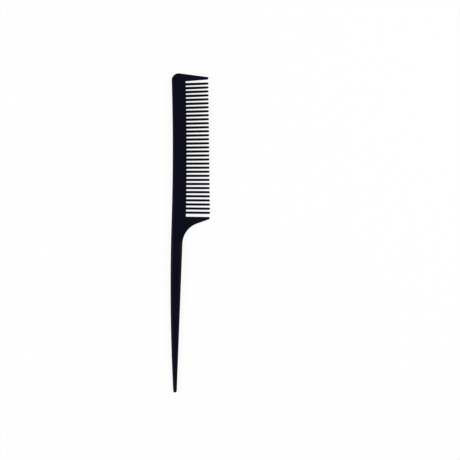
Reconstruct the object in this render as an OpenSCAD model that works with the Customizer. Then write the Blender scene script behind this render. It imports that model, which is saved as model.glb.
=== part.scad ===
// Rat tail comb, moulded in one shot: a stout spine with a row of fanned teeth between two
// guards, and a long slim tail for parting hair. The solids are the regions of the moulding.
// The comb lies on its side: +Y points to the head end, +X is the way the teeth point, and
// +Z is up through the thickness. All sizes are in millimetres. While the outlines are drawn,
// x = 0 is the line of the tooth tips and y = 0 is the middle tooth.

/* [Overall] */
// Length from the head end to the end of the tail
overall_l = 224.6; // [205:0.2:240]
// Width from the tooth tips to the back, at its narrowest
body_w = 25.5; // [25:0.1:28]
// Thickness of the spine and the neck
thickness = 3.6; // [3.2:0.1:4.4]
// Round-over radius of the spine's long edges
edge_r = 1.2; // [0.7:0.1:1.3]

/* [Spine] */
// Radius of the back, which is slightly hollow
back_r = 1640; // [1300:10:4000]
// Radius of the line through the slot bottoms
root_r = 2100; // [1700:10:4000]
// Place along the row where both of those curves peak
bend_y = 20; // [0:1:30]
// Radius of the corner at the head end
corner_r = 4.8; // [3:0.1:6]
// Fall of the head edge towards the tooth tips, in degrees
head_slope = 8.1; // [6:0.1:9]

/* [Teeth] */
// Number of teeth between the guards
tooth_count = 33; // [31:2:35]
// Tooth spacing at the middle of the row
pitch = 2.835; // [2.7:0.005:2.9]
// Change in spacing from one tooth to the next, wider towards the tail
pitch_growth = 0.0047; // [0:0.0001:0.005]
// Slot depth below the tooth tips, at its least
slot_depth = 16; // [15.6:0.1:17]
// Fillet radius in the corners of the slot bottoms
slot_r = 0.45; // [0.2:0.05:0.6]
// Tooth width from the root to where it begins to narrow
tooth_root_w = 1.48; // [1.2:0.01:1.5]
// Tooth width at the tip
tooth_tip_w = 1.4; // [1:0.01:1.5]
// Length of the narrowing stretch at the tip of a tooth
tooth_taper_l = 7; // [3:0.5:12]
// Tooth thickness at the tip
tooth_tip_t = 1.5; // [1.2:0.1:2]
// Distance from the middle of the teeth to the point they fan out from
fan_r = 1885; // [1000:5:4000]

/* [Guards] */
// Gap between the head guard and the first tooth
head_gap = 1.41; // [1.4:0.01:2.2]
// Gap between the heel guard and the last tooth
heel_gap = 2.01; // [1.4:0.01:2.4]
// Width of the head guard where it leaves the spine
head_guard_w = 4.6; // [4:0.1:6]
// Tip width of the head guard
head_guard_tip_w = 1.7; // [1.4:0.1:2]
// Tip width of the heel guard
heel_guard_tip_w = 1.6; // [1.4:0.1:2]
// How far the heel guard stops short of the tooth tips
heel_guard_short = 0.3; // [0:0.1:1]
// Slope of the heel guard's inner edge, in degrees
heel_inner_slope = 1.6; // [0:0.1:2]
// Slope of the heel guard's outer edge, in degrees
heel_outer_slope = 18.6; // [14:0.1:22]
// Radius of the scoop under the heel guard, where a finger rests
heel_r = 15.6; // [14:0.1:17]
// Distance from the last slot to where the neck begins
neck_drop = 1; // [0.5:0.1:2]

/* [Tail] */
// Distance from the middle tooth to the start of the tail
tail_start = 70.5; // [70:0.5:74]
// Width of the tail at its start
tail_w = 7.86; // [7.2:0.02:8.2]
// Lean of the tail's front edge, in degrees
tail_slope = 2.93; // [2.8:0.01:3]
// Radius of the tail's bowed back
tail_bow_r = 1413; // [1400:1:1450]
// Distance from the middle tooth to where the bowed back begins
tail_bow_start = 53; // [52:0.5:54]
// Thickness of the tail at its end
tail_end_t = 2.2; // [1.8:0.1:2.4]
// Length of the rounded tip region at the end of the tail
tail_tip_l = 12; // [8:1:20]

/* [Hidden] */
$fn = 48;
comb_colour = [0.055, 0.059, 0.11];
mid_z = thickness / 2;
round_over = 0.9;  // share of the tail's half thickness that its rounded sides take
small_r = 0.35;  // round-over of the slender guard tips
scoop_r = 0.6;  // round-over where the scoop leaves the spine
past = 1;  // how far a cutter runs past what it cuts

// Where the teeth and guards leave the spine, and how far behind that they begin to thin
seam_x = -15;
thinning_lead = 2.6;
// Middle of the tooth length, the place where the pitch is measured
fan_x = -slot_depth / 2;
mid_tooth = (tooth_count + 1) / 2;

// Place and lean of tooth k, counted from the head; 2.5 is the slot between teeth 2 and 3
function tooth_y(k) = -pitch * (k - mid_tooth) - pitch_growth / 2 * pow(k - mid_tooth, 2);
function fan_angle(y) = asin(y / fan_r);

// The back: a hollow arc along the spine, running on into the bowed arc of the tail
function sag(y, r) = r - sqrt(r * r - y * y);
bow_start = [-body_w - sag(tail_bow_start + bend_y, back_r), -tail_bow_start];
bow_mid_y = bow_start.y - (tail_bow_start + bend_y) * tail_bow_r / back_r;
back_min_x = bow_start.x - sag(bow_start.y - bow_mid_y, tail_bow_r);
function back_x(y) = y > bow_start.y ? -body_w - sag(y - bend_y, back_r)
                                     : back_min_x + sag(y - bow_mid_y, tail_bow_r);
function slot_x(y) = -slot_depth - sag(y - bend_y, root_r);

// The head end: a guard whose outer edge falls from the rounded corner to the tips
head_in_y = tooth_y(1) + tooth_root_w / 2 + head_gap;
head_seam = [seam_x, head_in_y + head_guard_w];
function head_y(x) = head_seam.y - (x - head_seam.x) * tan(head_slope);
head_in_dir = [-sin(head_slope), -cos(head_slope)];
corner = [back_x(head_in_y) + corner_r,
          head_y(back_x(head_in_y) + corner_r) - corner_r / cos(head_slope)];
head_tip_r = head_guard_tip_w / 2;
head_tip = [-head_tip_r, head_y(-head_tip_r) - head_tip_r / cos(head_slope)];
head_inner_slope = atan2(head_tip.y - head_tip_r - head_in_y, head_tip.x - seam_x);

// The heel end: a guard whose outer edge runs into the scoop, and the scoop into the tail
heel_in_y = tooth_y(tooth_count) - tooth_root_w / 2 - heel_gap;
heel_tip_r = heel_guard_tip_w / 2;
function heel_y(x) = heel_in_y - (x - seam_x) * tan(heel_inner_slope);
heel_tip_x = -heel_guard_short - heel_tip_r;
heel_tip = [heel_tip_x, heel_y(heel_tip_x) - heel_tip_r];
heel_out = [sin(heel_outer_slope), -cos(heel_outer_slope)];
tail_out = [cos(tail_slope), -sin(tail_slope)];
tail_front = [back_x(-tail_start) + tail_w, -tail_start];
function front_x(y) = tail_front.x + (y - tail_front.y) * tan(tail_slope);
// The scoop's centre lies heel_r outside both edges
heel_reach = heel_r + heel_out * (heel_tip + heel_tip_r * heel_out);
tail_reach = heel_r + tail_out * tail_front;
cross = heel_out.x * tail_out.y - heel_out.y * tail_out.x;
scoop = [heel_reach * tail_out.y - tail_reach * heel_out.y,
         heel_out.x * tail_reach - tail_out.x * heel_reach] / cross;
scoop_heel_a = 90 + heel_outer_slope;
scoop_seam_a = acos((seam_x - scoop.x) / heel_r);
scoop_tail_a = 180 - tail_slope;
neck_y = heel_in_y - neck_drop;

// The tail's end
tail_end_y = corner.y + corner_r - overall_l;
tip_start_y = tail_end_y + tail_tip_l;
tip_r = (front_x(tail_end_y + 1) - back_x(tail_end_y + 1)) / 2;
tip_c = [back_x(tail_end_y + tip_r) + tip_r, tail_end_y + tip_r];

// Half the thickness: the teeth and guards thin towards their tips, the tail to its end
wedge_x = seam_x - thinning_lead;
wedge_rise = (thickness - tooth_tip_t) / 2 / (-tooth_tip_t / 2 - wedge_x);
function wedge_half(p) = mid_z - (p.x - wedge_x) * wedge_rise;
function full_half(p) = mid_z;
function tail_half(p) = let (f = (-tail_start - p.y) / (-tail_start - tail_end_y))
    mid_z + (tail_end_t / 2 - mid_z) * min(max(f, 0), 1);

function tooth_name(k) = str("tooth_", k < 10 ? "0" : "", k);
function ramp(a, b, n) = [for (i = [0:n]) a + (b - a) * i / n];
function reverse(list) = [for (i = [len(list) - 1:-1:0]) list[i]];

// A rim point is [place, inward direction, round-over radius]
function arc_rim(c, r, angles, inward, edge) =
    [for (a = angles) let (d = [cos(a), sin(a)]) [c + r * d, inward * d, edge]];

// A slab with rounded edges between two rims of equal length. Seen from above, rim_a keeps
// to the right of rim_b along their run. half gives half the slab's thickness at a place.
module slab(rim_a, rim_b, half) {
    steps = [90, 60, 30, 0];
    levels = concat([for (a = steps) [a, -1]], [for (a = reverse(steps)) [a, 1]]);
    rim = concat(rim_a, reverse(rim_b));
    n = len(rim);
    points = [for (l = levels, q = rim)
        let (p = q[0] + q[1] * q[2] * (1 - cos(l[0])))
        [p.x, p.y, mid_z + l[1] * (half(p) - q[2] * (1 - sin(l[0])))]];
    sides = [for (j = [0:len(levels) - 2], i = [0:n - 1]) let (k = (i + 1) % n)
        [j * n + i, j * n + n + i, j * n + n + k, j * n + k]];
    under = [for (i = [0:len(rim_a) - 2]) [n - 2 - i, n - 1 - i, i, i + 1]];
    over = [for (f = under) [for (v = reverse(f)) n * (len(levels) - 1) + v]];
    polyhedron(points, concat(sides, under, over));
}

// Everything between the two faces that thin towards the tooth tips, with the round nose
module wedge_space() {
    reach = 300;
    deep_x = wedge_x - past / wedge_rise;
    nose_r = tooth_tip_t / 2;
    rotate([90, 0, 0])
        linear_extrude(2 * reach, center = true) {
            polygon([[deep_x - reach, -past], [deep_x, -past], [-nose_r, mid_z - nose_r],
                     [-nose_r, mid_z + nose_r], [deep_x, thickness + past],
                     [deep_x - reach, thickness + past]]);
            translate([-nose_r, mid_z])
                circle(nose_r);
        }
}

// One slot cut, from its filleted bottom out past the seam
module slot(y, width) {
    bottom = slot_x(y) - fan_x;
    fillet_x = bottom + slot_r;
    translate([fan_x, y, -past])
        rotate([0, 0, fan_angle(y)])
            linear_extrude(thickness + 2 * past) {
                for (side = [-1, 1])
                    translate([fillet_x, side * (width / 2 - slot_r)])
                        circle(slot_r);
                translate([bottom, slot_r - width / 2])
                    square([slot_r, width - 2 * slot_r]);
                translate([fillet_x, -width / 2])
                    square([seam_x - fan_x + past - fillet_x, width]);
            }
}

module slots() {
    for (k = [1:tooth_count - 1])
        slot(tooth_y(k + 0.5), tooth_y(k) - tooth_y(k + 1) - tooth_root_w);
    slot(head_in_y - head_gap / 2, head_gap);
    slot(heel_in_y + heel_gap / 2, heel_gap);
}

module spine() {
    corner_steps = 9;
    back_ys = ramp(corner.y, neck_y, 12);
    corner_angles = ramp(90 - head_slope, 180, corner_steps);
    head_xs = ramp(corner.x + corner_r * sin(head_slope), seam_x, corner_steps + 1);
    left = concat(
        arc_rim(corner, corner_r, corner_angles, -1, edge_r),
        [for (i = [1:12]) [[back_x(back_ys[i]), back_ys[i]], [1, 0], edge_r]]);
    right = concat(
        [for (i = [1:corner_steps]) [[head_xs[i], head_y(head_xs[i])], head_in_dir, edge_r]],
        [[head_seam, [0, -1 / cos(head_slope)], edge_r]],
        [for (i = [1:12]) [[seam_x, back_ys[i]], [0, 0], edge_r]]);
    color(comb_colour)
        difference() {
            intersection() {
                slab(left, right, function (p) full_half(p));
                wedge_space();
            }
            slots();
        }
}

module head_guard() {
    tip_out_as = ramp(90 - head_slope, 10, 4);
    tip_in_as = ramp(head_inner_slope - 90, -10, 4);
    out_xs = ramp(seam_x, head_tip.x + head_tip_r * sin(head_slope), 4);
    out_rs = ramp(edge_r, small_r, 4);
    in_end = head_tip + head_tip_r * [cos(tip_in_as[0]), sin(tip_in_as[0])];
    in_xs = ramp(seam_x, in_end.x, 4);
    in_ys = ramp(head_in_y, in_end.y, 4);
    outer = concat(
        [[head_seam, [0, -1 / cos(head_slope)], edge_r]],
        [for (i = [1:3]) [[out_xs[i], head_y(out_xs[i])], head_in_dir, out_rs[i]]],
        arc_rim(head_tip, head_tip_r, tip_out_as, -1, small_r));
    inner = concat(
        [for (i = [0:3]) [[in_xs[i], in_ys[i]], [0, 1], small_r]],
        arc_rim(head_tip, head_tip_r, tip_in_as, -1, small_r));
    color(comb_colour)
        slab(inner, outer, function (p) wedge_half(p));
}

module heel_guard() {
    scoop_as = ramp(scoop_seam_a, scoop_heel_a, 6);
    tip_out_as = ramp(heel_outer_slope - 90, -10, 4);
    tip_in_as = ramp(90 - heel_inner_slope, 10, 4);
    outer = concat(
        [[scoop + heel_r * [cos(scoop_seam_a), sin(scoop_seam_a)],
          [0, 1 / sin(scoop_seam_a)], scoop_r]],
        arc_rim(scoop, heel_r, [for (i = [1:6]) scoop_as[i]], 1, small_r),
        arc_rim(heel_tip, heel_tip_r, tip_out_as, -1, small_r));
    inner = concat(
        [for (i = [0:6]) [[outer[i][0].x, heel_y(outer[i][0].x)], [0, -1], small_r]],
        arc_rim(heel_tip, heel_tip_r, tip_in_as, -1, small_r));
    color(comb_colour)
        slab(outer, inner, function (p) wedge_half(p));
}

module neck() {
    n = 8;
    angles = ramp(scoop_seam_a, scoop_tail_a, n);
    side_r = round_over * mid_z;
    front_rs = ramp(scoop_r, side_r, n);
    back_rs = ramp(edge_r, side_r, n);
    arc_front = arc_rim(scoop, heel_r, angles, 1, 0);
    right = concat(
        [[[seam_x, neck_y], [0, 0], edge_r]],
        [[arc_front[0][0], [0, 1 / sin(scoop_seam_a)], front_rs[0]]],
        [for (i = [1:n]) [arc_front[i][0], arc_front[i][1], front_rs[i]]],
        [[tail_front, [-1, 0], side_r]]);
    left = [for (i = [0:n + 2]) let (y = right[i][0].y)
        [[back_x(y), y], [1, 0], back_rs[min(max(i - 1, 0), n)]]];
    color(comb_colour)
        intersection() {
            slab(left, right, function (p) full_half(p));
            wedge_space();
        }
}

// The tail's two edges at each of the given places
function tail_back(ys) =
    [for (y = ys) [[back_x(y), y], [1, 0], round_over * tail_half([0, y])]];
function tail_face(ys) =
    [for (y = ys) [[front_x(y), y], [-1, 0], round_over * tail_half([0, y])]];

module tail() {
    ys = ramp(-tail_start, tip_start_y, 8);
    color(comb_colour)
        slab(tail_back(ys), tail_face(ys), function (p) tail_half(p));
}

module tail_tip() {
    ys = ramp(tip_start_y, tip_c.y + tip_r / 2, 2);
    end_r = round_over * tail_end_t / 2;
    color(comb_colour)
        slab(concat(tail_back(ys), arc_rim(tip_c, tip_r, ramp(180, 260, 5), -1, end_r)),
             concat(tail_face(ys), arc_rim(tip_c, tip_r, ramp(0, -80, 5), -1, end_r)),
             function (p) tail_half(p));
}

module tooth(k) {
    y = tooth_y(k);
    tip_r = tooth_tip_w / 2;
    root_half = tooth_root_w / 2;
    tip_x = -fan_x - tip_r;
    taper_x = -fan_x - tooth_taper_l;
    color(comb_colour)
        intersection() {
            wedge_space();
            translate([fan_x, y, -past])
                rotate([0, 0, fan_angle(y)])
                    linear_extrude(thickness + 2 * past) {
                        polygon([[fan_x, -root_half], [taper_x, -root_half], [tip_x, -tip_r],
                                 [tip_x, tip_r], [taper_x, root_half], [fan_x, root_half]]);
                        translate([tip_x, 0])
                            circle(tip_r);
                    }
            translate([seam_x, y - pitch, -past])
                cube([-seam_x + past, 2 * pitch, thickness + 2 * past]);
        }
}

// The row frame has its origin under the middle of the whole comb
module placed() {
    translate([-back_min_x / 2, overall_l / 2 - corner.y - corner_r, 0])
        children();
}

placed() spine();
placed() head_guard();
placed() heel_guard();
placed() neck();
placed() tail();
placed() tail_tip();
for (k = [1:tooth_count])
    placed() tooth(k);
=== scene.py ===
"""Looks of the rat tail comb: one satin near-black moulding, shown as its named regions.

Every region is a closed mesh between two rims, an outline on its right and one on its left,
with rounded edges and a fine parting line round the middle. Regions meet face to face and have
the same normals along a seam, so the moulding reads as one smooth piece. Outlines are drawn in
millimetres with x = 0 on the line of the tooth tips and y = 0 on the middle tooth, as in the
part's source.
"""

import math
from typing import NamedTuple

import bpy
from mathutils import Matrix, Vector


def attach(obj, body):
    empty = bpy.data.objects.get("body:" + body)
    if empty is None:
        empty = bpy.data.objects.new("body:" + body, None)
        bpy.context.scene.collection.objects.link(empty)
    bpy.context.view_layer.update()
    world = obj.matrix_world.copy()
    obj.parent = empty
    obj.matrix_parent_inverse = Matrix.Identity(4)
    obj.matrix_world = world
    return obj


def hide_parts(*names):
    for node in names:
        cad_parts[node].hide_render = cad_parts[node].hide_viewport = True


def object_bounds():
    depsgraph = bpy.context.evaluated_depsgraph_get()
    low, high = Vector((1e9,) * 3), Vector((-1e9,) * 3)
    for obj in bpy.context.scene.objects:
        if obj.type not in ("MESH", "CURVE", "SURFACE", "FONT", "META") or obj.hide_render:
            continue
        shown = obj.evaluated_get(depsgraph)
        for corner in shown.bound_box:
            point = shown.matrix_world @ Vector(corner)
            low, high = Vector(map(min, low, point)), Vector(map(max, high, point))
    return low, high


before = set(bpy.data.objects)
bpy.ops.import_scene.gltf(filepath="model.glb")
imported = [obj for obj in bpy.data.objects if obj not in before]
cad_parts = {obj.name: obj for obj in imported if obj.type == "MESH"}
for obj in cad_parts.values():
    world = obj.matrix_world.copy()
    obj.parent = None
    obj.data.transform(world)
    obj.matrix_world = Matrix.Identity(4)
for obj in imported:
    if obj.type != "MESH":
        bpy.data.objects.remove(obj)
cad_low, cad_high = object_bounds()

MM = 0.001  # metres in a millimetre
TINY = 1e-5  # millimetres, for telling points that lie on a seam

# Overall
OVERALL_L = 224.6
BODY_W = 25.5
THICKNESS = (cad_high.z - cad_low.z) / MM
MID_Z = THICKNESS / 2
EDGE_R = 1.2  # round-over of the spine's long edges
ROUND_OVER = 0.9  # share of the tail's half thickness that its rounded sides take

# Spine
BACK_R = 1640  # the hollow of the back
ROOT_R = 2100  # the bow of the line of the slot bottoms
BEND_Y = 20  # where both of these are nearest the tooth tips
CORNER_R = 4.8
HEAD_SLOPE = math.radians(8.1)

# Teeth
TOOTH_COUNT = sum(name.startswith("tooth_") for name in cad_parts)
MID_TOOTH = (TOOTH_COUNT + 1) / 2
PITCH = 2.835
PITCH_GROWTH = 0.0047  # added to the pitch with each tooth towards the tail
SLOT_DEPTH = 16
SLOT_R = 0.45  # fillets in the slot bottoms
TOOTH_W = 1.48
TOOTH_TIP_W = 1.4
TOOTH_TAPER_X = -7  # where a tooth begins to narrow
TOOTH_TIP_T = 1.5
TIP_R = TOOTH_TIP_W / 2
FAN_R = 1885  # how far away the teeth's middle lines would meet
FAN_X = -SLOT_DEPTH / 2  # where tooth positions are measured
TOOTH_EDGE = 0.34  # round-over of the teeth at the root
TIP_EDGE = 0.52  # round-over of the teeth and guards towards their tips

# Guards
HEAD_GAP = 1.41  # width of the slot beside the head guard
HEEL_GAP = 2.01  # width of the slot beside the heel guard
HEAD_GUARD_W = 4.6
HEAD_TIP_R = 1.7 / 2
HEEL_TIP_R = 1.6 / 2
HEEL_SHORT = 0.3  # how far the heel guard stops short of the tooth tips
HEEL_INNER_SLOPE = math.radians(1.6)
HEEL_OUTER_SLOPE = math.radians(18.6)
HEEL_R = 15.6  # the scoop between the heel guard and the tail
SCOOP_EDGE = 0.6  # round-over of the scoop where the heel guard leaves the neck
NECK_DROP = 1  # from the heel guard's inner edge to the start of the neck

# Tail
TAIL_START = 70.5
TAIL_W = 7.86
TAIL_SLOPE = math.radians(2.93)
TAIL_BOW_R = 1413
TAIL_BOW_START = 53
TAIL_END_T = 2.2
TAIL_TIP_L = 12  # length of the region at the tail's end

# The faces: thinning towards the tips, eased in, and a slight crown along the back
SEAM_X = -15  # where the teeth and guards begin
THINNING_LEAD = 2.6  # half the width of the stretch in which the thinning eases in
THINNING_X = SEAM_X - THINNING_LEAD
THINNING = (THICKNESS - TOOTH_TIP_T) / 2 / (-TOOTH_TIP_T / 2 - THINNING_X)
CROWN = 0.1  # how far the face falls at the back
CREST = 4  # from the back to where the face is at its full height

# The parting line, a fine raised line where the two halves of the mould met
PARTING_PROUD = 0.02
PARTING_HALF = 0.1
PARTING_SHARE = 0.8  # most of a flat side that the line may take

# How finely the meshes are cut
EDGE_STEPS = 6
TIP_STEPS = 8  # round half of the tip of a tooth or guard
BLUNT = math.radians(10)  # where those steps stop short of the tip's middle
JOINT_STEPS = 4  # inside the seam of a guard
FACE_COLUMNS = 8
GUARD_COLUMNS = 4
TOOTH_COLUMNS = 2

# The view: its width at the comb's height, the place in its middle and the camera's turn
VIEW_W = 323.94
VIEW_MIDDLE = (28.17, 1.6)
VIEW_TURN = math.radians(-0.7257)


class RimPoint(NamedTuple):
    """A point of an outline, the way into the material there, and the round-over radius."""

    place: Vector
    inward: Vector
    radius: float


def ramp(start, end, steps):
    """steps + 1 evenly spaced values."""
    return [start + (end - start) * i / steps for i in range(steps + 1)]


def unit(angle):
    return Vector((math.cos(angle), math.sin(angle)))


def arc_rim(centre, radius, angles, inward, edges):
    """Rim points on an arc. inward is 1 where the material lies outside the arc, else -1."""
    return [
        RimPoint(centre + radius * unit(angle), inward * unit(angle), edge)
        for angle, edge in zip(angles, edges)
    ]


# --- The outline's rules ---------------------------------------------------------------------


def tooth_y(tooth):
    """Where a tooth's middle is, counted from the head. 2.5 is the slot after tooth 2."""
    away = tooth - MID_TOOTH
    return -PITCH * away - PITCH_GROWTH / 2 * away**2


def fan_angle(y):
    return math.asin(y / FAN_R)


def sag(y, radius):
    return radius - math.sqrt(radius**2 - y**2)


BOW_START_X = -BODY_W - sag(TAIL_BOW_START + BEND_Y, BACK_R)
BOW_MID_Y = -TAIL_BOW_START - (TAIL_BOW_START + BEND_Y) * TAIL_BOW_R / BACK_R
BACK_MIN_X = BOW_START_X - sag(-TAIL_BOW_START - BOW_MID_Y, TAIL_BOW_R)


def back_x(y):
    """The back: a hollow arc along the spine that runs on into the bowed arc of the tail."""
    if y > -TAIL_BOW_START:
        return -BODY_W - sag(y - BEND_Y, BACK_R)
    return BACK_MIN_X + sag(y - BOW_MID_Y, TAIL_BOW_R)


def slot_x(y):
    return -SLOT_DEPTH - sag(y - BEND_Y, ROOT_R)


HEAD_IN_Y = tooth_y(1) + TOOTH_W / 2 + HEAD_GAP
HEAD_SEAM = Vector((SEAM_X, HEAD_IN_Y + HEAD_GUARD_W))
HEAD_INWARD = Vector((-math.sin(HEAD_SLOPE), -math.cos(HEAD_SLOPE)))


def head_y(x):
    """The head edge, which falls towards the tooth tips."""
    return HEAD_SEAM.y - (x - SEAM_X) * math.tan(HEAD_SLOPE)


CORNER_X = back_x(HEAD_IN_Y) + CORNER_R
CORNER = Vector((CORNER_X, head_y(CORNER_X) - CORNER_R / math.cos(HEAD_SLOPE)))
HEAD_TIP = Vector((-HEAD_TIP_R, head_y(-HEAD_TIP_R) - HEAD_TIP_R / math.cos(HEAD_SLOPE)))

HEEL_IN_Y = tooth_y(TOOTH_COUNT) - TOOTH_W / 2 - HEEL_GAP
NECK_Y = HEEL_IN_Y - NECK_DROP


def heel_y(x):
    """The heel guard's inner edge."""
    return HEEL_IN_Y - (x - SEAM_X) * math.tan(HEEL_INNER_SLOPE)


HEEL_TIP_X = -HEEL_SHORT - HEEL_TIP_R
HEEL_TIP = Vector((HEEL_TIP_X, heel_y(HEEL_TIP_X) - HEEL_TIP_R))
HEEL_OUT = unit(HEEL_OUTER_SLOPE - math.pi / 2)
TAIL_OUT = unit(-TAIL_SLOPE)
TAIL_FRONT = Vector((back_x(-TAIL_START) + TAIL_W, -TAIL_START))


def front_x(y):
    """The tail's front edge."""
    return TAIL_FRONT.x + (y - TAIL_FRONT.y) * math.tan(TAIL_SLOPE)


def scoop_centre():
    """The point HEEL_R outside both the heel guard's outer edge and the tail's front edge."""
    heel_reach = HEEL_R + HEEL_OUT.dot(HEEL_TIP) + HEEL_TIP_R
    tail_reach = HEEL_R + TAIL_OUT.dot(TAIL_FRONT)
    cross = HEEL_OUT.x * TAIL_OUT.y - HEEL_OUT.y * TAIL_OUT.x
    x = heel_reach * TAIL_OUT.y - tail_reach * HEEL_OUT.y
    y = HEEL_OUT.x * tail_reach - TAIL_OUT.x * heel_reach
    return Vector((x, y)) / cross


SCOOP = scoop_centre()
SCOOP_HEEL_ANGLE = math.pi / 2 + HEEL_OUTER_SLOPE
SCOOP_SEAM_ANGLE = math.acos((SEAM_X - SCOOP.x) / HEEL_R)
SCOOP_TAIL_ANGLE = math.pi - TAIL_SLOPE
SCOOP_SEAM = RimPoint(
    SCOOP + HEEL_R * unit(SCOOP_SEAM_ANGLE),
    Vector((0, 1 / math.sin(SCOOP_SEAM_ANGLE))),
    SCOOP_EDGE,
)

TAIL_END_Y = CORNER.y + CORNER_R - OVERALL_L
TIP_START_Y = TAIL_END_Y + TAIL_TIP_L
TAIL_TIP_R = (front_x(TAIL_END_Y + 1) - back_x(TAIL_END_Y + 1)) / 2  # a millimetre from the end
TAIL_TIP = Vector((back_x(TAIL_END_Y + TAIL_TIP_R) + TAIL_TIP_R, TAIL_END_Y + TAIL_TIP_R))

# Each seam plane between regions, as an axis and a place on it
SEAMS = [(0, SEAM_X), (1, NECK_Y), (1, -TAIL_START), (1, TIP_START_Y)]
# What carries the outline's coordinates to the frame's
SHIFT = Vector((-BACK_MIN_X / 2, OVERALL_L / 2 - CORNER.y - CORNER_R, 0))


def tail_half(y):
    """Half the thickness along the comb, which falls from the tail's start to its end."""
    share = (-TAIL_START - y) / (-TAIL_START - TAIL_END_Y)
    return MID_Z + (TAIL_END_T / 2 - MID_Z) * min(max(share, 0), 1)


def half_thickness(place):
    """Half the thickness at a place: thinner towards the tooth tips, the tail end and the back."""
    x, y = place
    past = x - THINNING_X
    if abs(past) < THINNING_LEAD:
        past = (past + THINNING_LEAD) ** 2 / (4 * THINNING_LEAD)
    from_back = x - back_x(y)
    crest = min(CREST, max(front_x(y) - back_x(y), TAIL_TIP_R) / 2)
    crown = CROWN * max(0, 1 - from_back / crest) ** 2
    return tail_half(y) - THINNING * max(past, 0) - crown


# --- Meshes ----------------------------------------------------------------------------------


def edge_levels():
    """From the underside up: shares of the radius for the inset and drop, side, wear."""
    angles = ramp(math.pi / 2, 0, EDGE_STEPS)
    rounds = [(1 - math.cos(a), 1 - math.sin(a), math.cos(a)) for a in angles]
    under = [(inset, drop, -1, wear) for inset, drop, wear in rounds]
    over = [(inset, drop, 1, wear) for inset, drop, wear in reversed(rounds)]
    return under, over


def rim_column(point):
    """One rim point's column of positions, from the underside up to the face."""
    under, over = edge_levels()
    half = half_thickness(point.place)
    band = min(PARTING_HALF, PARTING_SHARE * (half - point.radius))

    def rounded(inset, drop, side):
        place = point.place + point.inward * point.radius * inset
        height = half_thickness(place) - point.radius * drop
        return (place.x, place.y, MID_Z + side * height)

    proud = point.place - point.inward * PARTING_PROUD
    parting = [
        (point.place.x, point.place.y, MID_Z - band),
        (proud.x, proud.y, MID_Z),
        (point.place.x, point.place.y, MID_Z + band),
    ]
    column = [rounded(inset, drop, side) for inset, drop, side, _ in under]
    column += parting
    column += [rounded(inset, drop, side) for inset, drop, side, _ in over]
    wear = [w for *_, w in under] + [1.0] * len(parting) + [w for *_, w in over]
    return column, wear


def slab(right, left, columns):
    """Points, faces and edge wear of the closed solid between two rims of equal length.

    Along their run the right rim keeps to the right. columns is how many strips cross a face.
    """
    ring = [rim_column(point) for point in right + left[::-1]]
    around = len(ring)
    rows = len(ring[0][0])
    points = [ring[i][0][row] for row in range(rows) for i in range(around)]
    wear = [ring[i][1][row] for row in range(rows) for i in range(around)]
    faces = []
    between = {}  # the points on the edges where a face of the comb meets an end wall
    for row, side in ((0, -1), (rows - 1, 1)):
        stations = []
        for i in range(len(right)):
            a, b = row * around + i, row * around + around - 1 - i
            inner = []
            for share in ramp(0, 1, columns)[1:-1]:
                place = Vector(points[a][:2]).lerp(Vector(points[b][:2]), share)
                inner.append(len(points))
                points.append((place.x, place.y, MID_Z + side * half_thickness(place)))
                wear.append(0.0)
            stations.append([a, *inner, b])
        for near, far in zip(stations, stations[1:]):
            for j in range(columns):
                face = (near[j], far[j], far[j + 1], near[j + 1])
                faces.append(face if side > 0 else face[::-1])
        for a, *inner, b in (stations[0], stations[-1]):
            between[a, b] = inner
            between[b, a] = inner[::-1]
    for row in range(rows - 1):
        for i in range(around):
            j = (i + 1) % around
            low, high = row * around, (row + 1) * around
            corners = (low + i, low + j, high + j, high + i)
            wall = []
            for a, b in zip(corners, corners[1:] + corners[:1]):
                wall += [a, *between.get((a, b), [])]
            faces.append(wall)
    return points, faces, wear


def is_joint(points, face):
    """True for a face that lies in a seam plane, where one region meets the next."""
    return any(
        all(abs(points[v][axis] - place) < TINY for v in face) for axis, place in SEAMS
    )


def make_piece(node, right, left, columns):
    """The region that stands for a CAD node, with its joint faces marked."""
    points, faces, wear = slab(right, left, columns)
    mesh = bpy.data.meshes.new(node)
    mesh.from_pydata([(Vector(p) + SHIFT) * MM for p in points], [], faces)
    mesh.attributes.new("edge_wear", "FLOAT", "POINT").data.foreach_set("value", wear)
    joints = [is_joint(points, face) for face in faces]
    mesh.attributes.new("joint", "BOOLEAN", "FACE").data.foreach_set("value", joints)
    mesh.polygons.foreach_set("use_smooth", [not joint for joint in joints])
    piece = bpy.data.objects.new(f"{node}_moulding", mesh)
    bpy.context.scene.collection.objects.link(piece)
    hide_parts(node)
    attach(piece, "root")
    return piece


# --- The regions -----------------------------------------------------------------------------
# A function named after a region gives its two rims, the right one first.


def tooth_side(tooth, side, x):
    """y of a side of a tooth at x. side is 1 towards the head and -1 towards the tail."""
    angle = fan_angle(tooth_y(tooth))
    share = max(0, (x - TOOTH_TAPER_X) / (-TIP_R - TOOTH_TAPER_X))
    half = (TOOTH_W + (TOOTH_TIP_W - TOOTH_W) * share) / 2
    return tooth_y(tooth) + (x - FAN_X) * math.tan(angle) + side * half / math.cos(angle)


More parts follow.
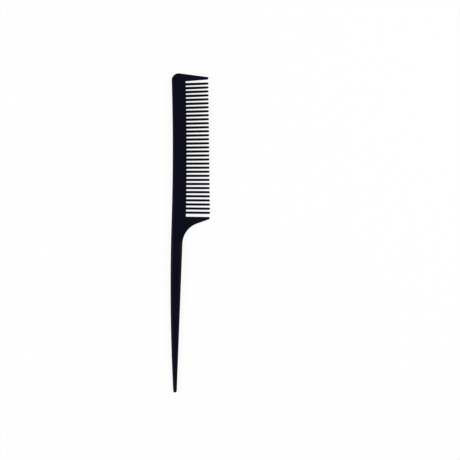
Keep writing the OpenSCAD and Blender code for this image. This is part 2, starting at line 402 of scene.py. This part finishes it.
def slot_rim(slot):
    """The rim round a slot, from its corner at the seam nearest the head to the other one."""

    def wall_above(x):
        return HEAD_IN_Y if slot == 0 else tooth_side(slot, -1, x)

    def wall_below(x):
        return heel_y(x) if slot == TOOTH_COUNT else tooth_side(slot + 1, 1, x)

    fillet_steps = 4
    x = slot_x(tooth_y(slot + 0.5)) + SLOT_R
    edges = [TOOTH_EDGE] * (fillet_steps + 1)
    above = Vector((x, wall_above(x) - SLOT_R))
    below = Vector((x, wall_below(x) + SLOT_R))
    return [
        RimPoint(Vector((SEAM_X, wall_above(SEAM_X))), Vector((0, 1)), TOOTH_EDGE),
        *arc_rim(above, SLOT_R, ramp(math.pi / 2, math.pi, fillet_steps), 1, edges),
        *arc_rim(below, SLOT_R, ramp(math.pi, 3 * math.pi / 2, fillet_steps), 1, edges),
        RimPoint(Vector((SEAM_X, wall_below(SEAM_X))), Vector((0, -1)), TOOTH_EDGE),
    ]


def seam_points(ys):
    """Points inside a seam, where the rim has no rounding."""
    return [RimPoint(Vector((SEAM_X, y)), Vector((0, 0)), EDGE_R) for y in ys]


def tip_rim(centre, radius, angles):
    """The rim round half of the tip of a tooth or guard."""
    return arc_rim(centre, radius, angles, -1, [TIP_EDGE] * len(angles))


def back_points(ys):
    return [RimPoint(Vector((back_x(y), y)), Vector((1, 0)), EDGE_R) for y in ys]


def spine():
    corner_steps = 12  # the head edge and the head guard's seam have as many points between them
    angles = ramp(math.pi / 2 - HEAD_SLOPE, math.pi, corner_steps)[:-1]
    head_start = CORNER.x + CORNER_R * math.sin(HEAD_SLOPE)
    head_xs = ramp(head_start, SEAM_X, corner_steps - JOINT_STEPS - 1)[1:-1]
    right = arc_rim(CORNER, CORNER_R, angles, -1, [EDGE_R] * corner_steps)
    left = [RimPoint(Vector((x, head_y(x))), HEAD_INWARD, EDGE_R) for x in head_xs]
    left.append(RimPoint(HEAD_SEAM, Vector((0, -1 / math.cos(HEAD_SLOPE))), EDGE_R))
    left += seam_points(ramp(HEAD_SEAM.y - 2 * EDGE_R, HEAD_IN_Y + EDGE_R, JOINT_STEPS))
    spread = 0.47 * TOOTH_W  # how far past a slot the points across from it run on the back
    for slot in range(TOOTH_COUNT + 1):
        rim = slot_rim(slot)
        high_y = min(CORNER.y, rim[0].place.y + spread)
        low_y = rim[-1].place.y - spread
        right += back_points(ramp(high_y, low_y, len(rim) - 1))
        left += rim
    left += seam_points([NECK_Y])
    right += back_points([NECK_Y])
    return right, left


def head_guard():
    length_steps = 12
    inner_slope = math.atan2(HEAD_TIP.y - HEAD_TIP_R - HEAD_IN_Y, HEAD_TIP.x - SEAM_X)
    inner_angles = ramp(inner_slope - math.pi / 2, -BLUNT, TIP_STEPS)
    outer_angles = ramp(math.pi / 2 - HEAD_SLOPE, BLUNT, TIP_STEPS)
    inner_arc = tip_rim(HEAD_TIP, HEAD_TIP_R, inner_angles)
    outer_arc = tip_rim(HEAD_TIP, HEAD_TIP_R, outer_angles)
    start = Vector((SEAM_X, HEAD_IN_Y))
    inner = []
    outer = []
    for share in ramp(0, 1, length_steps)[:-1]:
        inner_edge = TOOTH_EDGE + (TIP_EDGE - TOOTH_EDGE) * share
        inner.append(
            RimPoint(start.lerp(inner_arc[0].place, share), Vector((0, 1)), inner_edge)
        )
        x = SEAM_X + (outer_arc[0].place.x - SEAM_X) * share
        inward = HEAD_INWARD if share else Vector((0, -1 / math.cos(HEAD_SLOPE)))
        outer_edge = EDGE_R + (TIP_EDGE - EDGE_R) * share
        outer.append(RimPoint(Vector((x, head_y(x))), inward, outer_edge))
    return inner + inner_arc, outer + outer_arc


def heel_guard():
    scoop_steps = 16
    # Where the arc's rim points may begin, so that their rounding stays on this side of the seam
    clear_of_seam = math.acos((SEAM_X + SCOOP_EDGE / 2 - SCOOP.x) / (HEEL_R + SCOOP_EDGE))
    angles = ramp(clear_of_seam, SCOOP_HEEL_ANGLE, scoop_steps - 1)
    edges = ramp(SCOOP_EDGE, TIP_EDGE, scoop_steps - 1)
    scoop = [SCOOP_SEAM, *arc_rim(SCOOP, HEEL_R, angles, 1, edges)]
    outer_angles = ramp(HEEL_OUTER_SLOPE - math.pi / 2, -BLUNT, TIP_STEPS)
    inner_angles = ramp(math.pi / 2 - HEEL_INNER_SLOPE, BLUNT, TIP_STEPS)
    inner_edges = ramp(TOOTH_EDGE, TIP_EDGE, scoop_steps)
    inner = [
        RimPoint(Vector((p.place.x, heel_y(p.place.x))), Vector((0, -1)), edge)
        for p, edge in zip(scoop, inner_edges)
    ]
    outer_arc = tip_rim(HEEL_TIP, HEEL_TIP_R, outer_angles)
    inner_arc = tip_rim(HEEL_TIP, HEEL_TIP_R, inner_angles)
    return scoop + outer_arc, inner + inner_arc


def neck():
    scoop_steps = 24
    side_r = ROUND_OVER * MID_Z
    angles = ramp(SCOOP_SEAM_ANGLE, SCOOP_TAIL_ANGLE, scoop_steps)
    edges = ramp(SCOOP_EDGE, side_r, scoop_steps)
    left = seam_points(ramp(NECK_Y, SCOOP_SEAM.place.y + 2 * SCOOP_EDGE, JOINT_STEPS))
    left.append(SCOOP_SEAM)
    left += arc_rim(SCOOP, HEEL_R, angles[1:], 1, edges[1:])
    left.append(RimPoint(TAIL_FRONT, Vector((-1, 0)), side_r))
    right = []
    for point in left:
        y = point.place.y
        share = max(0, (SCOOP_SEAM.place.y - y) / (SCOOP_SEAM.place.y + TAIL_START))
        edge = EDGE_R + (side_r - EDGE_R) * share
        right.append(RimPoint(Vector((back_x(y), y)), Vector((1, 0)), edge))
    return right, left


def tail_rims(ys):
    """The tail's back and front edges at the given places."""
    edges = [ROUND_OVER * tail_half(y) for y in ys]
    back = [RimPoint(Vector((back_x(y), y)), Vector((1, 0)), e) for y, e in zip(ys, edges)]
    front = [RimPoint(Vector((front_x(y), y)), Vector((-1, 0)), e) for y, e in zip(ys, edges)]
    return back, front


def tail():
    length_steps = 45
    return tail_rims(ramp(-TAIL_START, TIP_START_Y, length_steps))


def tail_tip():
    length_steps = 6
    tip_steps = 9
    blunt = math.radians(8)
    back, front = tail_rims(ramp(TIP_START_Y, TAIL_TIP.y + TAIL_TIP_R / 2, length_steps))
    edges = [ROUND_OVER * TAIL_END_T / 2] * (tip_steps + 1)
    down = 3 * math.pi / 2
    back += arc_rim(TAIL_TIP, TAIL_TIP_R, ramp(math.pi, down - blunt, tip_steps), -1, edges)
    front += arc_rim(TAIL_TIP, TAIL_TIP_R, ramp(2 * math.pi, down + blunt, tip_steps), -1, edges)
    return back, front


def tooth(number):
    """The two rims of a tooth, counted from the head."""
    length_steps = 8
    y = tooth_y(number)
    angle = fan_angle(y)
    tip = Vector((FAN_X, y)) + (-FAN_X - TIP_R) * unit(angle)
    rims = []
    for side in (-1, 1):
        angles = ramp(angle + side * math.pi / 2, angle + side * BLUNT, TIP_STEPS)
        arc = tip_rim(tip, TIP_R, angles)
        rim = []
        for share in ramp(0, 1, length_steps)[:-1]:
            x = SEAM_X + (arc[0].place.x - SEAM_X) * share
            inward = -side * unit(angle + math.pi / 2) if share else Vector((0, -side))
            edge = TOOTH_EDGE + (TIP_EDGE - TOOTH_EDGE) * share
            rim.append(RimPoint(Vector((x, tooth_side(number, side, x))), inward, edge))
        rims.append(rim + arc)
    return rims


def flat_normal(position):
    """The normal of the upper or lower face at one of its points, from the thickness rule."""
    step = 0.05  # millimetres to each side
    place = position / MM - SHIFT
    along_x = Vector((step, 0))
    along_y = Vector((0, step))
    rise_x = half_thickness(place.xy + along_x) - half_thickness(place.xy - along_x)
    rise_y = half_thickness(place.xy + along_y) - half_thickness(place.xy - along_y)
    side = 1 if place.z > MID_Z else -1
    return Vector((-rise_x, -rise_y, side * 2 * step))


def smooth_across_seams(pieces):
    """Gives every outer point one normal, shared by the regions that meet there."""

    def key(position):
        """The position to a thousandth of a millimetre, the same for every region there."""
        return tuple(round(c / MM, 3) for c in position)

    totals = {}
    for piece in pieces:
        mesh = piece.data
        for face, joint in zip(mesh.polygons, mesh.attributes["joint"].data):
            if joint.value:
                continue
            for v in face.vertices:
                spot = key(mesh.vertices[v].co)
                totals[spot] = totals.get(spot, Vector((0, 0, 0))) + face.normal * face.area
    for piece in pieces:
        mesh = piece.data
        for vertex, wear in zip(mesh.vertices, mesh.attributes["edge_wear"].data):
            if wear.value < TINY:
                totals[key(vertex.co)] = flat_normal(vertex.co)
    for piece in pieces:
        mesh = piece.data
        normals = []
        for face, joint in zip(mesh.polygons, mesh.attributes["joint"].data):
            for v in face.vertices:
                total = face.normal if joint.value else totals[key(mesh.vertices[v].co)]
                normals.append(total.normalized())
        mesh.normals_split_custom_set(normals)


# --- Material --------------------------------------------------------------------------------


def grey(level):
    return (level, level, level, 1)


def add_node(tree, kind, **sockets):
    """A node with some of its input sockets set, by name."""
    node = tree.nodes.new(kind)
    for name, value in sockets.items():
        node.inputs[name.replace("_", " ")].default_value = value
    return node


def comb_plastic():
    """Satin near-black navy plastic: moulded grain, cloudy gloss, light scuffs, worn edges."""
    material = bpy.data.materials.new("comb_plastic")
    material.use_nodes = True
    tree = material.node_tree
    shader = tree.nodes["Principled BSDF"]
    shader.inputs["Specular IOR Level"].default_value = 0.25
    place = tree.nodes.new("ShaderNodeTexCoord").outputs["Object"]

    def noise(size_mm, detail, vector=place):
        """Noise whose features are about size_mm across."""
        node = add_node(tree, "ShaderNodeTexNoise", Scale=1 / (size_mm * MM), Detail=detail)
        tree.links.new(vector, node.inputs["Vector"])
        return node.outputs["Fac"]

    def mapped(value, source, target):
        """A value carried from one range to another, and kept within it."""
        node = add_node(
            tree,
            "ShaderNodeMapRange",
            From_Min=source[0],
            From_Max=source[1],
            To_Min=target[0],
            To_Max=target[1],
        )
        tree.links.new(value, node.inputs["Value"])
        return node.outputs["Result"]

    def added(a, b):
        node = tree.nodes.new("ShaderNodeMath")
        node.operation = "ADD"
        tree.links.new(a, node.inputs[0])
        tree.links.new(b, node.inputs[1])
        return node.outputs["Value"]

    def blended(factor, first, second):
        """A colour between two, each a constant or another node's output."""
        node = tree.nodes.new("ShaderNodeMix")
        node.data_type = "RGBA"
        tree.links.new(factor, node.inputs["Factor"])
        for socket, colour in ((node.inputs[6], first), (node.inputs[7], second)):
            if isinstance(colour, tuple):
                socket.default_value = (*colour, 1)
            else:
                tree.links.new(colour, socket)
        return node.outputs[2]

    drawn = add_node(tree, "ShaderNodeMapping", Scale=(1, 0.04, 1))  # stretched along the comb
    tree.links.new(place, drawn.inputs["Vector"])
    grain = noise(size_mm=0.45, detail=2)
    peel = noise(size_mm=3.5, detail=1)
    clouds = noise(size_mm=14, detail=3)
    streaks = noise(size_mm=0.35, detail=1, vector=drawn.outputs["Vector"])
    scuffs = mapped(streaks, (0.62, 0.8), (0, 1))
    worn = tree.nodes.new("ShaderNodeAttribute")
    worn.attribute_name = "edge_wear"
    edge = worn.outputs["Fac"]

    deep = (0.0035, 0.0039, 0.0205)
    pale = (0.005, 0.0055, 0.0255)
    rubbed = (0.008, 0.0088, 0.028)
    colour = blended(mapped(clouds, (0.35, 0.65), (0, 1)), deep, pale)
    colour = blended(mapped(scuffs, (0, 1), (0, 0.5)), colour, rubbed)
    colour = blended(mapped(edge, (0.5, 1), (0, 0.35)), colour, rubbed)
    tree.links.new(colour, shader.inputs["Base Color"])

    rough = mapped(clouds, (0.3, 0.7), (0.29, 0.37))
    rough = added(rough, mapped(scuffs, (0, 1), (0, 0.08)))
    rough = added(rough, mapped(edge, (0, 1), (0, -0.07)))
    tree.links.new(rough, shader.inputs["Roughness"])

    wavy = add_node(tree, "ShaderNodeBump", Strength=0.5, Distance=0.02 * MM)
    tree.links.new(peel, wavy.inputs["Height"])
    fine = add_node(tree, "ShaderNodeBump", Strength=0.4, Distance=0.012 * MM)
    tree.links.new(grain, fine.inputs["Height"])
    tree.links.new(wavy.outputs["Normal"], fine.inputs["Normal"])
    tree.links.new(fine.outputs["Normal"], shader.inputs["Normal"])
    return material


def floor_white():
    """A white that is mostly its own light, so that the comb hardly darkens it."""
    material = bpy.data.materials.new("floor_white")
    material.use_nodes = True
    shader = material.node_tree.nodes["Principled BSDF"]
    shader.inputs["Base Color"].default_value = grey(0.1)
    shader.inputs["Roughness"].default_value = 0.9
    shader.inputs["Specular IOR Level"].default_value = 0.1
    shader.inputs["Emission Color"].default_value = grey(1)
    shader.inputs["Emission Strength"].default_value = 0.905
    return material


# --- Stage, lights and camera ----------------------------------------------------------------


def add_floor():
    reach = 20.0  # metres, so that low views see no end of it
    mesh = bpy.data.meshes.new("floor")
    corners = [(-reach, -reach, 0), (reach, -reach, 0), (reach, reach, 0), (-reach, reach, 0)]
    mesh.from_pydata(corners, [], [(0, 1, 2, 3)])
    mesh.materials.append(floor_white())
    floor = bpy.data.objects.new("floor", mesh)
    floor.visible_glossy = False  # so the comb's sides don't mirror the white under them
    bpy.context.scene.collection.objects.link(floor)


def add_softbox(name, place, size, power):
    """A square area light that faces the comb."""
    lamp = bpy.data.lights.new(name, "AREA")
    lamp.size = size
    lamp.energy = power
    light = bpy.data.objects.new(name, lamp)
    light.location = place
    light.rotation_mode = "QUATERNION"
    light.rotation_quaternion = Vector(place).to_track_quat("Z", "Y")
    bpy.context.scene.collection.objects.link(light)


def add_world():
    """A studio that is palest round the horizon and dim overhead and below."""
    world = bpy.data.worlds.new("studio")
    world.use_nodes = True
    tree = world.node_tree
    direction = tree.nodes.new("ShaderNodeTexCoord").outputs["Generated"]
    parts = tree.nodes.new("ShaderNodeSeparateXYZ")
    tree.links.new(direction, parts.inputs["Vector"])
    height = add_node(tree, "ShaderNodeMapRange", From_Min=-1, From_Max=1, To_Min=0, To_Max=1)
    tree.links.new(parts.outputs["Z"], height.inputs["Value"])
    sky = tree.nodes.new("ShaderNodeValToRGB")
    tree.links.new(height.outputs["Result"], sky.inputs["Fac"])
    stops = sky.color_ramp.elements
    below, horizon, overhead = 0.08, 0.85, 0.42
    # Places run from 0, straight down, to 1, straight up
    for place, level in ((0.475, below), (0.49, horizon), (0.8, overhead)):
        stops.new(place).color = grey(level)
    stops[0].color = grey(below)
    stops[-1].color = grey(overhead)
    tree.links.new(sky.outputs["Color"], tree.nodes["Background"].inputs["Color"])
    bpy.context.scene.world = world


def add_camera():
    """Straight above the comb, turned a little, with the comb left of the middle."""
    data = bpy.data.cameras.new("camera")
    data.lens = 120
    data.sensor_width = 36
    camera = bpy.data.objects.new("camera", data)
    aim = Vector((*VIEW_MIDDLE, MID_Z)) * MM
    height = VIEW_W * MM * data.lens / data.sensor_width
    camera.location = aim + Vector((0, 0, height))
    camera.rotation_euler = (0, 0, VIEW_TURN)
    bpy.context.scene.collection.objects.link(camera)
    bpy.context.scene.camera = camera


def build_comb():
    regions = {
        "spine": (spine(), FACE_COLUMNS),
        "head_guard": (head_guard(), GUARD_COLUMNS),
        "heel_guard": (heel_guard(), GUARD_COLUMNS),
        "neck": (neck(), FACE_COLUMNS),
        "tail": (tail(), FACE_COLUMNS),
        "tail_tip": (tail_tip(), FACE_COLUMNS),
    }
    for number in range(1, TOOTH_COUNT + 1):
        regions[f"tooth_{number:02d}"] = (tooth(number), TOOTH_COLUMNS)
    pieces = [make_piece(node, *rims, columns) for node, (rims, columns) in regions.items()]
    smooth_across_seams(pieces)
    plastic = comb_plastic()
    for piece in pieces:
        piece.data.materials.append(plastic)


add_camera()
build_comb()
add_floor()
add_world()
add_softbox("key", place=(1.1, 0.3, 1.0), size=0.9, power=9)
add_softbox("fill", place=(-1.1, -0.2, 0.9), size=0.9, power=7)
view = bpy.context.scene.view_settings
view.view_transform = "Standard"
view.gamma = 0.75  # darkens the greys where the comb's edges blend into the white floor
